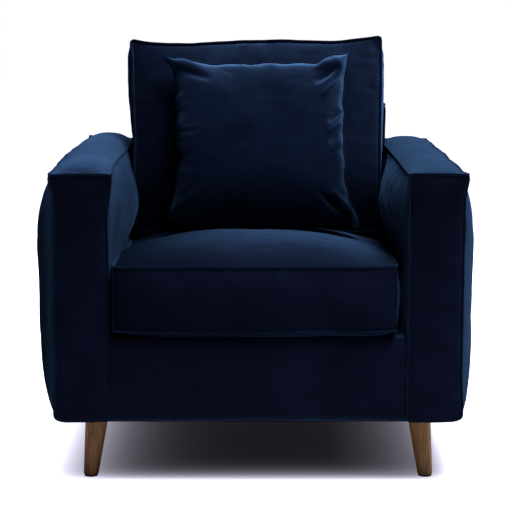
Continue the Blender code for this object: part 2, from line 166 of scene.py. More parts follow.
def velvet_material(name="velvet", painted_sheen_share=1.0, red=1.0, painted_sheen_fades=(), deep_fade=()):
    """Short pile: nearly black head on, and blue where it is seen along the surface, a painted sheen in the
    base colour.
    Towards a side of a piece a fade darkens it, mostly as painted shade: each fade is (axis, from, to, share
    at `from`)."""
    m = Nodes(
        name,
        Roughness=0.9,
        Specular_IOR_Level=0.0,
        Sheen_Weight=0.05,
        Sheen_Roughness=0.40,
        Sheen_Tint=(0.20, 0.44, 1.0, 1.0),
    )
    # How the pile has been brushed: broad patches, finer marks and short strokes.
    brushed = m.noise(6.0, 3.0, distortion=0.8)
    marks = m.noise(34.0, 3.0, distortion=0.5)
    streaks = m.noise(1.0, 4.0, m.place((9, 70, 26), (0.2, 0.1, 0.35)), 0.3)
    fibre = m.noise(1400.0, 2.0)
    lay = m.math("ADD", m.math("MULTIPLY", brushed, 0.45), m.math("MULTIPLY", marks, 0.25))
    lay = m.math("ADD", lay, m.math("MULTIPLY", streaks, 0.30))
    folds = m.bump(lay, 0.0045, 0.5)
    nap = m.bump(m.noise(420.0, 2.0), 0.0006, 0.5, folds)
    m.link(m.bump(fibre, 0.0003, 0.4, nap), "Normal")
    # The blue seen along the surface is a painted sheen: Layer Weight's facing mixes the head-on colour into
    # it.
    facing = m.add("ShaderNodeLayerWeight", {"Blend": 0.5, "Normal": folds}).outputs["Facing"]
    along = m.math("POWER", facing, 1.4)
    painted_sheen_low = tuple(c * painted_sheen_share for c in (0.0140, 0.033, 0.074))
    painted_sheen_high = tuple(c * painted_sheen_share for c in (0.0215, 0.050, 0.112))
    painted_sheen = m.ramp(lay, (0.36, painted_sheen_low), (0.62, painted_sheen_high))
    deep_low, deep_high = (0.0023 * red, 0.0036, 0.0107), (0.0037 * red, 0.0068, 0.0197)
    deep = m.ramp(lay, (0.36, deep_low), (0.62, deep_high))
    deep = m.mix(m.math("MULTIPLY", fibre, 0.6), deep, (0.0021 * red, 0.0033, 0.0100))
    # Painted shade, mostly: each fade darkens the colour towards a side of the piece.
    for sweep in painted_sheen_fades:
        painted_sheen = m.mix(m.sweep(*sweep), (0, 0, 0), painted_sheen)
    for sweep in deep_fade:
        deep = m.mix(m.sweep(*sweep), (0, 0, 0), deep)
    m.link(m.mix(along, deep, painted_sheen), "Base Color")
    return m.material


def lining_material():
    m = Nodes("deck_lining", Roughness=0.9, Specular_IOR_Level=0.2)
    wave = {"Vector": m.place(), "Scale": 260.0}
    threads = [m.add("ShaderNodeTexWave", wave, bands_direction=axis).outputs[1] for axis in "XY"]
    tone = m.noise(12.0, 3.0)
    m.link(m.ramp(tone, (0.3, (0.010, 0.015, 0.038)), (0.7, (0.018, 0.025, 0.056))), "Base Color")
    m.link(m.bump(m.math("MULTIPLY", *threads), 0.0004, 0.5), "Normal")
    return m.material


def underside_material():
    m = Nodes("underside_cloth", Roughness=0.95, Specular_IOR_Level=0.2)
    fibres = m.noise(900.0, 3.0)
    blotch = m.noise(60.0, 2.0)
    m.link(m.ramp(fibres, (0.35, (0.006, 0.006, 0.007)), (0.7, (0.022, 0.022, 0.024))), "Base Color")
    m.link(m.bump(m.math("ADD", fibres, blotch), 0.0005, 0.5), "Normal")
    return m.material


def leg_wood_material():
    m = Nodes("leg_wood", Roughness=0.5, Specular_IOR_Level=0.35, Coat_Weight=0.12, Coat_Roughness=0.35)
    drift = m.noise(14.0, 2.0)
    grain = m.noise(1.0, 5.0, m.place((260, 260, 9)), 0.5, 0.6)
    pores = m.noise(1.0, 2.0, m.place((900, 900, 40)))
    tone = m.ramp(
        grain, (0.28, (0.112, 0.043, 0.011)), (0.5, (0.246, 0.103, 0.026)), (0.74, (0.370, 0.170, 0.050))
    )
    tone = m.mix(m.math("MULTIPLY", drift, 0.35), tone, (0.180, 0.073, 0.020))
    dark = m.ramp(pores, (0.36, 0.45), (0.46, 1.0))
    m.link(m.mix(1.0, tone, dark, "MULTIPLY"), "Base Color")
    m.link(m.ramp(grain, (0.3, 0.62), (0.7, 0.42)), "Roughness")
    m.link(m.bump(m.math("ADD", grain, pores), 0.0003, 0.35), "Normal")
    return m.material


def frame_wood_material():
    m = Nodes("frame_wood", Roughness=0.75)
    grain = m.noise(1.0, 4.0, m.place((60, 6, 60)), 0.4)
    m.link(m.ramp(grain, (0.3, (0.36, 0.23, 0.12)), (0.7, (0.60, 0.43, 0.26))), "Base Color")
    m.link(m.bump(grain, 0.0004, 0.3), "Normal")
    return m.material


def metal_material(name, colour, roughness):
    m = Nodes(name, Metallic=1.0)
    smear = m.noise(180.0, 3.0)
    m.link(m.mix(smear, colour, tuple(0.75 * c for c in colour)), "Base Color")
    m.link(m.ramp(smear, (0.3, roughness - 0.08), (0.7, roughness + 0.12)), "Roughness")
    return m.material


def plain_material(name, dark, light, roughness, scale=300.0):
    m = Nodes(name, Roughness=roughness)
    tone = m.noise(scale, 3.0)
    m.link(m.ramp(tone, (0.3, dark), (0.7, light)), "Base Color")
    m.link(m.bump(tone, 0.0003, 0.3), "Normal")
    return m.material


VELVET = velvet_material(red=1.3)
# Painted shade along the seams: the welts get less painted sheen, so they read as dark lines.
VELVET_EDGE = velvet_material("velvet_sewn_edge", 0.45)
# Painted shade: the arms' head-on colour is darker higher up, away from the light thrown up by the floor.
FRONT_SHADE = (("Z", 0.62, 0.30, 0.62),)  # darker towards the arms' tops
# Painted shade: darker low down, where the cushions meet the seat and lie in shadow.
SEAT_SHADE = ("Z", 0.49, 0.66, 0.20)  # darker towards the seat
# Painted shade on the arms: the left arm's sheen is darker on its outer side, on its inner side and low down
# towards the seat. The right arm's sheen is weaker all over and darker on its inner side.
VELVET_ARM = {
    "left": velvet_material(
        "velvet_arm_left",
        1.0,
        1.3,
        (("X", -0.283, -0.312, 0.46), ("X", -0.445, -0.412, 0.10), ("Z", 0.44, 0.60, 0.62)),
        FRONT_SHADE,
    ),
    "right": velvet_material("velvet_arm_right", 0.64, 1.3, (("X", 0.283, 0.312, 0.60),), FRONT_SHADE),
}
# The seat's sheen is a little weaker than the left arm's and fades darker towards its left side, its front
# edge and its right side; by the right arm the darkening is painted shade. Its head-on colour is darker
# towards the left.
VELVET_SEAT = velvet_material(
    "velvet_seat",
    0.84,
    1.25,
    (("X", -0.30, 0.02, 0.03), ("X", 0.29, 0.16, 0.54), ("Y", -0.42, -0.26, 0.34)),
    (("X", -0.30, -0.10, 0.64),),
)
# Painted light and shade on the back cushion: a much stronger sheen for the light on it, darker towards its
# foot and on its left strip, where the scatter cushion shades it, and a painted shade towards the seat.
VELVET_BACK = velvet_material(
    "velvet_back_cushion", 3.3, 1.0, (("Z", 0.47, 0.74, 0.28), ("X", -0.29, -0.08, 0.19)), (SEAT_SHADE,)
)
# Painted light and shade on the scatter cushion: a stronger sheen for the light on it, darker towards its
# foot, which faces down, and its left side, away from the light, and a painted shade towards the seat.
VELVET_SCATTER = velvet_material(
    "velvet_scatter_cushion", 2.3, 0.92, (("Z", 0.49, 0.82, 0.12), ("X", -0.20, -0.09, 0.42)), (SEAT_SHADE,)
)
# Painted shade: the cushions' welts, darker towards the seat.
VELVET_LOW_EDGE = velvet_material("velvet_cushion_edge", 0.55, 1.0, (SEAT_SHADE,), (SEAT_SHADE,))
LINING = lining_material()
UNDERSIDE = underside_material()
LEG_WOOD = leg_wood_material()
FRAME_WOOD = frame_wood_material()
STEEL = metal_material("steel", (0.50, 0.50, 0.52), 0.35)
ZIP_METAL = metal_material("zip_metal", (0.26, 0.25, 0.24), 0.35)
GLIDE = plain_material("glide_plastic", (0.018, 0.016, 0.014), (0.030, 0.026, 0.023), 0.55)
FOAM = plain_material("filling", (0.70, 0.68, 0.60), (0.82, 0.80, 0.73), 0.95)
WEBBING = plain_material("webbing", (0.030, 0.027, 0.024), (0.10, 0.09, 0.08), 0.9, 700.0)
ZIP_TAPE = plain_material("zip_tape", (0.003, 0.005, 0.014), (0.007, 0.010, 0.026), 0.95, 900.0)


# ---- fabric on a grid


def turned(ring):
    """The same face seen from its other side, from the same first corner."""
    return ring[:1] + ring[:0:-1]


def is_at(t, end):
    """True, which counts as 1, for the points where t is at an end."""
    return np.abs(t - end) < 1e-6


def block(low, high, counts=None):
    """A Box from corner to corner with cells of about SPACING, and its points' X, Y and Z."""
    box = Box(counts or [round((b - a) / SPACING) for a, b in zip(low, high)])
    return box, *((a + b) / 2 + t * (b - a) / 2 for a, b, t in zip(low, high, box.uvw))


class Box:
    """The skin of a box on a regular grid. Its edges are the seams between fabric panels. Each point has
    u, v and w from -1 to 1, along X, Y and Z."""

    def __init__(self, counts):
        self.counts = counts
        self.index = {}
        params = []
        for cell in np.ndindex(*(n + 1 for n in counts)):
            if any(c in (0, n) for c, n in zip(cell, counts)):
                self.index[cell] = len(params)
                params.append([2 * c / n - 1 for c, n in zip(cell, counts)])
        self.uvw = np.array(params).T
        self.quads = []
        for axis in range(3):
            first, second = [k for k in range(3) if k != axis]
            for a in range(counts[first]):
                for b in range(counts[second]):
                    self.quads += [self.quad(axis, first, second, a, b, side) for side in (0, 1)]

    def quad(self, axis, first, second, a, b, side):
        """A cell of the low (0) or high (1) side along an axis, turned to face outwards."""
        ring = [(a, b), (a, b + 1), (a + 1, b + 1), (a + 1, b)]
        if (axis + side) % 2:
            ring = turned(ring)
        cell = [side * self.counts[axis]] * 3
        found = []
        for place in ring:
            cell[first], cell[second] = place
            found.append(self.index[tuple(cell)])
        return tuple(found)

    def path(self, names):
        """Points from corner to corner along the edges. A corner's name has 0 (low) or 1 (high) for each
        of X, Y and Z, such as 011."""
        found = []
        corners = [[int(digit) for digit in name] for name in names.split()]
        for a, b in zip(corners, corners[1:]):
            axis = [k for k in range(3) if a[k] != b[k]][0]
            steps = range(self.counts[axis] + 1)
            if b[axis] < a[axis]:
                steps = reversed(steps)
            for step in steps:
                at = [a[k] * self.counts[k] for k in range(3)]
                at[axis] = step
                found.append(self.index[tuple(at)])
        return [p for n, p in enumerate(found) if n == 0 or p != found[n - 1]]

    def loop(self, names):
        """A path that goes on to its first corner."""
        return self.path(names + " " + names.split()[0])[:-1]

    def sides(self):
        """How many sides each point is on: 1 within a panel, 2 on a seam and 3 at a corner."""
        return np.sum(is_at(np.abs(self.uvw), 1), axis=0)


def fall(t, power=4):
    """1 over most of a panel and 0 at its seam, where t is -1 or 1."""
    return 1 - np.abs(t) ** power


def hump(t):
    """0 where t is 0 or 1, and 1 halfway."""
    return np.sin(np.pi * np.clip(t, 0, 1))


def smooth(t):
    """From 0 to 1, level at both ends."""
    t = np.clip(t, 0, 1)
    return t * t * (3 - 2 * t)


def normals_of(points, quads):
    """Unit normals at the points, averaged over the quads around them."""
    q = np.array(quads)
    n = np.cross(points[q[:, 2]] - points[q[:, 0]], points[q[:, 3]] - points[q[:, 1]])
    total = np.zeros_like(points)
    for corner in range(4):
        np.add.at(total, q[:, corner], n)
    return total / np.maximum(np.linalg.norm(total, axis=1, keepdims=True), 1e-12)


def roughen(points, quads, *rounds):
    """Moves points along their normals by smooth noise, once for each (amount, scale, seed)."""
    for amount, scale, seed in rounds:
        shift = Vector((seed * 7.3, seed * 3.1, seed * 5.7))
        amounts = np.array([noise.noise(Vector(p) * scale + shift) for p in points])
        points = points + normals_of(points, quads) * (amounts * amount)[:, None]
    return points


def mesh_object(name, points, faces, material, smooth_shade=True):
    mesh = bpy.data.meshes.new(name)
    mesh.from_pydata([tuple(p) for p in points], [], faces)
    mesh.update()
    made = bpy.data.objects.new(name, mesh)
    SCENE.collection.objects.link(made)
    mesh.materials.append(material)
    if smooth_shade:
        mesh.shade_smooth()
    return made


def places_in(mesh):
    """The coordinates of a mesh's points."""
    found = np.empty(len(mesh.vertices) * 3, np.float32)
    mesh.vertices.foreach_get("co", found)
    return found.reshape(-1, 3).astype(float)


def relax(points, quads, held, slack, pressure, frames=20, cap=0.02, rest=None, stiffness=20.0, bending=0.5):
    """Cloth simulation of a padded cover. The fabric is cut larger than the start shape by `slack`, or to
    the `rest` shape. No point moves further than `cap`."""
    made = mesh_object("cloth_run", points, quads, VELVET)
    made.shape_key_add(name="Basis")
    cut = made.shape_key_add(name="cut")
    centre = points.mean(axis=0)
    shape = centre + (points - centre) * (1 + slack) if rest is None else rest
    cut.data.foreach_set("co", shape.ravel())
    cut.value = 0
    group = made.vertex_groups.new(name="held")
    for n, weight in enumerate(held):
        if weight > 0:
            group.add([n], float(weight), "REPLACE")
    cloth = made.modifiers.new("cloth", "CLOTH")
    s = cloth.settings
    s.quality = 6
    s.mass = 0.25
    s.tension_stiffness = s.compression_stiffness = stiffness
    s.shear_stiffness = stiffness * 0.4
    s.bending_stiffness = bending
    s.tension_damping = s.compression_damping = s.shear_damping = 12
    s.bending_damping = 1.0
    s.air_damping = 3.0
    s.use_pressure = True
    s.uniform_pressure_force = pressure
    s.effector_weights.gravity = 0
    s.rest_shape_key = cut
    s.vertex_group_mass = "held"
    s.pin_stiffness = 4.0
    cloth.point_cache.frame_start = 1
    cloth.point_cache.frame_end = frames
    for f in range(1, frames + 1):
        SCENE.frame_set(f)
    evaluated = made.evaluated_get(bpy.context.evaluated_depsgraph_get())
    moved = places_in(evaluated.data) - points
    bpy.data.objects.remove(made)
    SCENE.frame_set(1)
    far = np.maximum(np.linalg.norm(moved, axis=1, keepdims=True) / cap, 1e-9)
    return points + moved * np.minimum(1, 1 / far)


def refine(points, quads):
    """The same skin, smoothed and divided into four times as many faces. The old points come first."""
    made = mesh_object("refining", points, quads, VELVET)
    made.modifiers.new("fine", "SUBSURF").levels = 1
    mesh = made.evaluated_get(bpy.context.evaluated_depsgraph_get()).to_mesh()
    found = places_in(mesh)
    faces = [tuple(p.vertices) for p in mesh.polygons]
    bpy.data.objects.remove(made)
    return found, faces


def pucker(points, quads, path, amount, reach=0.030, pitch=0.020, seed=1, where=None):
    """Small folds that run into a seam and die out away from it."""
    line = points[path]
    along = np.r_[0, np.cumsum(np.linalg.norm(np.diff(line, axis=0), axis=1))]
    nearest = np.zeros(len(points), int)
    far = np.full(len(points), np.inf)
    for n, at in enumerate(line):
        d = np.linalg.norm(points - at, axis=1)
        nearest, far = np.where(d < far, n, nearest), np.minimum(d, far)
    # A point's place along the seam, between the seam's own points.
    n0 = np.clip(nearest - 1, 0, len(line) - 1)
    n1 = np.clip(nearest + 1, 0, len(line) - 1)
    step = line[n1] - line[n0]
    length = np.maximum(np.linalg.norm(step, axis=1), 1e-9)
    s = along[nearest] + np.sum((points - line[nearest]) * step, axis=1) / length
    shift = np.zeros(len(points))
    for k in np.nonzero(far < 3.5 * reach)[0]:
        fold = noise.noise(Vector((s[k] / pitch, seed * 3.7, far[k] / reach * 0.6)))
        patch = 0.35 + max(0.0, noise.noise(Vector((s[k] * 7, seed * 5.1, 3)))) * 2.2
        fade = math.exp(-far[k] / reach) * (1 - math.exp(-far[k] / 0.007))
        shift[k] = fold * patch * fade * (where(points[k]) if where else 1.0)
    return points + normals_of(points, quads) * (shift * amount * 2.0)[:, None]


def crease(points, quads, start, end, width, depth):
    """A valley (or, with a negative depth, a ridge) from start to end, fading at both ends. Ends given
    as (x, z) fold the front only, whatever its depth there."""
    if len(start) == 2:
        where, chosen = points[:, (0, 2)], points[:, 1] < 0
    else:
        where, chosen = points, True
    a, b = np.array(start), np.array(end)
    t = np.clip((where - a) @ (b - a) / np.dot(b - a, b - a), 0, 1)
    d = np.linalg.norm(where - (a + t[:, None] * (b - a)), axis=1)
    shift = chosen * depth * np.exp(-((d / width) ** 2)) * hump(t) ** 0.7
    return points - normals_of(points, quads) * shift[:, None]


def resample(points, outward, step, closed):
    """Even steps along a path with its corners rounded: places, outward directions and distances."""
    both = np.hstack([points, outward])
    for _ in range(2):
        here, there = (both, np.roll(both, -1, 0)) if closed else (both[:-1], both[1:])
        cut = np.stack([0.75 * here + 0.25 * there, 0.25 * here + 0.75 * there], 1).reshape(-1, 6)
        both = cut if closed else np.vstack([both[:1], cut, both[-1:]])
    if closed:
        both = np.vstack([both, both[:1]])
    lengths = np.r_[0, np.cumsum(np.linalg.norm(np.diff(both[:, :3], axis=0), axis=1))]
    count = max(4, int(lengths[-1] / step))
    at = np.linspace(0, lengths[-1], count + 1)
    if closed:
        at = at[:-1]
    both = np.stack([np.interp(at, lengths, column) for column in both.T], 1)
    out = both[:, 3:]
    return both[:, :3], out / np.linalg.norm(out, axis=1, keepdims=True), at


def frames_along(pts, out, closed):
    """Outward and sideways unit vectors along a path, square to it."""
    if closed:
        tangent = np.roll(pts, -1, 0) - np.roll(pts, 1, 0)
    else:
        tangent = np.gradient(pts, axis=0)
    tangent /= np.linalg.norm(tangent, axis=1, keepdims=True)
    out = out - tangent * np.sum(out * tangent, axis=1, keepdims=True)
    out /= np.linalg.norm(out, axis=1, keepdims=True)
    return out, np.cross(tangent, out)


def welt(name, points, outward, closed, seed, height=0.0065, thickness=0.0036):
    """A raised seam: the edges of two panels sewn together and standing up."""
    sunk = 0.003
    pts, out, at = resample(points, outward, 0.004, closed)
    out, side = frames_along(pts, out, closed)
    half = [(0.50, 0.0), (0.46, 0.62), (0.30, 0.92)]
    profile = [(-across, up) for across, up in half] + [(0.0, 1.0)] + half[::-1]
    verts = []
    for n in range(len(pts)):
        wander = noise.noise(Vector((at[n] * 22, seed * 3.7, 0)))
        swell = noise.noise(Vector((at[n] * 45, seed * 1.9, 5)))
        lean = 0.0010 * noise.noise(Vector((at[n] * 14, seed * 2.3, 9)))
        high = height * (1 + 0.10 * wander)
        wide = thickness * (1 + 0.16 * swell)
        for across, up in profile:
            rise = -sunk + (high + sunk) * up
            verts.append(pts[n] + out[n] * rise + side[n] * (across * wide + lean * up))
    ring, faces = len(profile), []
    last = len(pts) if closed else len(pts) - 1
    for n in range(last):
        m = (n + 1) % len(pts)
        for k in range(ring - 1):
            faces.append((n * ring + k, m * ring + k, m * ring + k + 1, n * ring + k + 1))
        faces.append((n * ring + ring - 1, m * ring + ring - 1, m * ring, n * ring))
    if not closed:
        faces.append(tuple(range(ring - 1, -1, -1)))
        faces.append(tuple(last * ring + k for k in range(ring)))
    made = mesh_object(name, verts, faces, VELVET_EDGE)
    bm = bmesh.new()
    bm.from_mesh(made.data)
    bmesh.ops.recalc_face_normals(bm, faces=bm.faces)
    bm.to_mesh(made.data)
    bm.free()
    return made


def cover(name, points, quads, seams, body, replaced, material=VELVET, edge=VELVET_EDGE):
    """A finished piece of upholstery: its skin and its raised seams. Each seam is its path, whether it is
    closed, and perhaps its height and its thickness."""
    skin = mesh_object(name, points, quads, material)
    directions = normals_of(points, quads)
    for n, (path, closed, *size) in enumerate(seams):
        seed = n + len(name)
        made = welt(f"{name}_welt_{n + 1}", points[path], directions[path], closed, seed, *size)
        made.data.materials[0] = edge
        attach(made, body)
    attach(skin, body)
    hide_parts(*replaced)


# ---- fixed upholstery


def fullness(w, fullest, above, below, dip=1.0):
    """How full a panel is at height w: 1 at `fullest`, none at its upper edge, 1 - dip at its lower one."""
    upper = 1 - (np.clip(w - fullest, 0, 2) / (1 - fullest)) ** above
    lower = 1 - dip * (np.clip(fullest - w, 0, 2) / (1 + fullest)) ** below
    return np.where(w > fullest, upper, lower)


def round_off(points, quads, chosen):
    """Moves the chosen points towards the middle of their neighbours, but not along Y."""
    q = np.array(quads)
    y = points[:, 1].copy()
    for _ in range(2):
        total, count = np.zeros_like(points), np.zeros(len(points))
        for a, b in ((0, 1), (1, 2), (2, 3), (3, 0)):
            for here, there in ((a, b), (b, a)):
                np.add.at(total, q[:, here], points[q[:, there]])
                np.add.at(count, q[:, here], 1)
        points = points + (total / count[:, None] - points) * (0.5 * chosen)[:, None]
    points[:, 1] = y
    return points


def arm(side_name, side):
    """An arm, shaped on the right and then put on its own side. The left one is fuller."""
    box, x, y, z = block((ARM_IN, FRONT, BASE), (ARM_OUT, REAR, ARM_TOP))
    u, v, w = box.uvw
    left = side < 0
    outer_swell, crown, bow = (0.0565, 0.030, 0.011) if left else (0.0455, 0.0165, 0.002)
    inner_swell, front_swell, rear_swell = 0.036, 0.0075, 0.010
    low_edge = (u > 1 - 3 / box.counts[0]) & (w < -1 + 3 / box.counts[2])
    x, y, z = round_off(np.stack([x, y, z], 1), box.quads, low_edge).T.copy()
    # The outer side bows out in its upper part, swells, and stands out a little at its foot.
    x = x + (u + 1) / 2 * bow * hump((v + 1) / 2) * smooth((z - 0.35) / 0.28)
    full = fullness(w, 0.18, 3 if left else 3.8, 6, 0.76)
    x = x + is_at(u, 1) * outer_swell * fall(v) * full
    x = x + 0.0058 * (u + 1) / 2 * smooth((0.25 - z) / 0.11)
    # The lower outer edge is rounded.
    edge_out = np.clip((x - (ARM_OUT - 0.012)) / 0.018, 0, 1) * (u > 0)
    z = z + 0.0075 * edge_out**2 * np.clip((BASE + 0.02 - z) / 0.02, 0, 1)
    # The inner side swells above the seat, in front of the back cushion.
    seat_level = 0.452
    reach = (y - FRONT) / (0.20 - FRONT)
    rise = (z - seat_level) / (ARM_TOP - seat_level)
    x = x - is_at(u, -1) * inner_swell * hump(reach**0.85) * hump(rise)
    # The top is fuller behind.
    full_behind = 0.72 + 0.28 * smooth((v + 1) / 1.4)
    z = z + is_at(w, 1) * crown * full_behind * fall(u, 2.6) * fall(v, 10)
    y = y - is_at(v, -1) * front_swell * fall(u) * fall(w, 8)
    y = y + is_at(v, 1) * rear_swell * fall(u) * fall(w, 6)
    # The top corners stick out: the rear ones upwards and the front outer one sideways.
    z = z + 0.006 * np.where(v > 0, np.abs(v) ** 24, 0) * np.where(w > 0, w**24, 0) * np.abs(u) ** 6
    far = (x - ARM_OUT) ** 2 + (y - FRONT) ** 2 + (z - ARM_TOP) ** 2
    x = x + (0.0085 if left else 0.0105) * np.exp(-far / 0.030**2)
    if left:
        far = (x - ARM_OUT) ** 2 + (y - REAR) ** 2 + (z - ARM_TOP) ** 2
        z = z + 0.0115 * np.exp(-far / 0.017**2)
        # The inner top corner leans towards the seat.
        corner = smooth((z - 0.54) / 0.10) * smooth((-0.20 - y) / 0.19) * (1 - u) / 2
        x = x - 0.010 * corner
    points = np.stack([side * x, y, z], 1)
    quads = box.quads if side > 0 else [q[::-1] for q in box.quads]
    points = roughen(points, quads, (0.0030, 9.0, 3 + side), (0.0011, 34.0, 9 + side))
    points[is_at(w, -1), 2] = np.maximum(points[is_at(w, -1), 2], BASE)
    held = np.where(box.sides() > 1, 1.0, 0.0)
    held[z < BASE + 0.004] = 1.0
    points = relax(points, quads, held, 0.006, 1.2, frames=14, cap=0.006)
    front = box.loop("100 101 001 000")
    rear = box.loop("110 111 011 010")
    outer_top = box.path("101 111")
    inner_top = box.path("001 011")
    points, quads = refine(points, quads)
    for n, path in enumerate((front, outer_top, inner_top, rear)):
        points = pucker(points, quads, path, 0.0016, seed=11 + n + 5 * side)
    thin = (0.0052, 0.0034)
    seams = [(front, True, *thin), (rear, True, *thin), (outer_top, False, *thin), (inner_top, False, *thin)]
    replaced = [f"arm_cover_{side_name}"]
    look = VELVET_ARM[side_name]
    cover(f"arm_upholstery_{side_name}", points, quads, seams, "chair", replaced, material=look)


def border():
    """The panel under the seat cushion."""
    low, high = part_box("front_border")
    thickness = 0.012
    counts = (round((high.x - low.x) / SPACING), 2, round((BORDER_TOP - BASE) / SPACING))
    box, x, y, z = block((low.x, FRONT, BASE), (high.x, FRONT + thickness, BORDER_TOP), counts)
    u, v, w = box.uvw
    front = is_at(v, -1)
    y = y - front * 0.0055 * fall(u, 6) * fall(w)
    # It turns in at its lower and upper edges.
    y = y + front * (z < BASE + 0.006) * 0.003 + front * (z > BORDER_TOP - 0.006) * 0.004
    points = roughen(np.stack([x, y, z], 1), box.quads, (0.0022, 8.0, 21))
    points, quads = refine(points, box.quads)
    for n, path in enumerate((box.path("000 001"), box.path("100 101"))):
        points = pucker(points, quads, path, 0.0016, seed=71 + n)
    cover("front_border_upholstery", points, quads, [], "chair", ["front_border"])


def back():
    """The fixed back: raked inside, upright outside."""
    rear_swell, front_swell, crown = 0.024, 0.006, 0.010
    height = BACK_TOP - BASE
    box = Box([round(2 * BACK_HALF / SPACING), 14, round(height / SPACING)])
    u, v, w = box.uvw
    z = BASE + (w + 1) / 2 * height
    face = BACK_FACE + (z - 0.31) * math.tan(RAKE)
    y = face + (v + 1) / 2 * (REAR - face)
    # The left edge comes in a little near the top.
    x = u * BACK_HALF + 0.0055 * np.clip(-u, 0, 1) * smooth((z - 0.58) / 0.08)
    y = y + is_at(v, 1) * rear_swell * fall(u) * fullness(w, 0.18, 4, 4)
    y = y - is_at(v, -1) * front_swell * fall(u) * fall(w)
    z = z + is_at(w, 1) * crown * fall(u) * fall(v, 2)
    points = roughen(np.stack([x, y, z], 1), box.quads, (0.0030, 9.0, 31))
    points[is_at(w, -1), 2] = np.maximum(points[is_at(w, -1), 2], BASE)
    held = np.where(box.sides() > 1, 1.0, 0.0)
    points = relax(points, box.quads, held, 0.004, 1.2, frames=12, cap=0.006)
    rear = box.loop("010 011 111 110")
    front = box.path("000 001 101 100")
    left, right = box.path("001 011"), box.path("101 111")
    points, quads = refine(points, box.quads)
    for n, path in enumerate((rear, front)):
        points = pucker(points, quads, path, 0.0016, seed=31 + n)
    seams = [(rear, True), (front, False), (left, False), (right, False)]
    cover("back_upholstery", points, quads, seams, "chair", ["back_cover"])


def sheet_mesh(name, counts, place, upwards, material):
    """A grid of cells, where place(s, t) is the point for s along X and t along Y, both from 0 to 1."""
    verts = [place(i / counts[0], j / counts[1]) for i in range(counts[0] + 1) for j in range(counts[1] + 1)]
    row = counts[1] + 1
    faces = []
    for i in range(counts[0]):
        for j in range(counts[1]):
            at = i * row + j
            face = (at, at + row, at + row + 1, at + 1)
            faces.append(face if upwards else turned(face))
    return mesh_object(name, verts, faces, material)


def deck():
    """Under the seat cushion: a velvet strip in front and lining behind it, quilted over the springs."""
    low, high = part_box("deck_pad")
    level, front = 0.3108, FRONT + 0.006

    def place(s, t):
        x = low.x + (high.x - low.x) * s
        y = front + (high.y - front) * t
        seam = 0.0022 * math.exp(-(((y - STRIP_EDGE) / 0.005) ** 2))
        return x, y, level - seam + 0.0012 * noise.noise(Vector((x * 9, y * 9, 0)))

    made = sheet_mesh("deck_cloth", (58, 56), place, True, LINING)
    made.data.materials.append(VELVET)
    for face in made.data.polygons:
        if face.center.y < STRIP_EDGE:
            face.material_index = 1
    solid = made.modifiers.new("thick", "SOLIDIFY")
    solid.thickness, solid.offset = 0.010, -1
    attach(made, "chair")
    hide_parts("deck_pad")


# ---- loose cushions


def cushion_cover(body, points, quads, seams, material, edge=VELVET_EDGE):
    """A loose cushion's cover, which stands for the cover and the filling in CAD."""
    replaced = [f"{body}_cover", f"{body}_filling"]
    cover(f"{body}_velvet", points, quads, seams, body, replaced, material, edge)


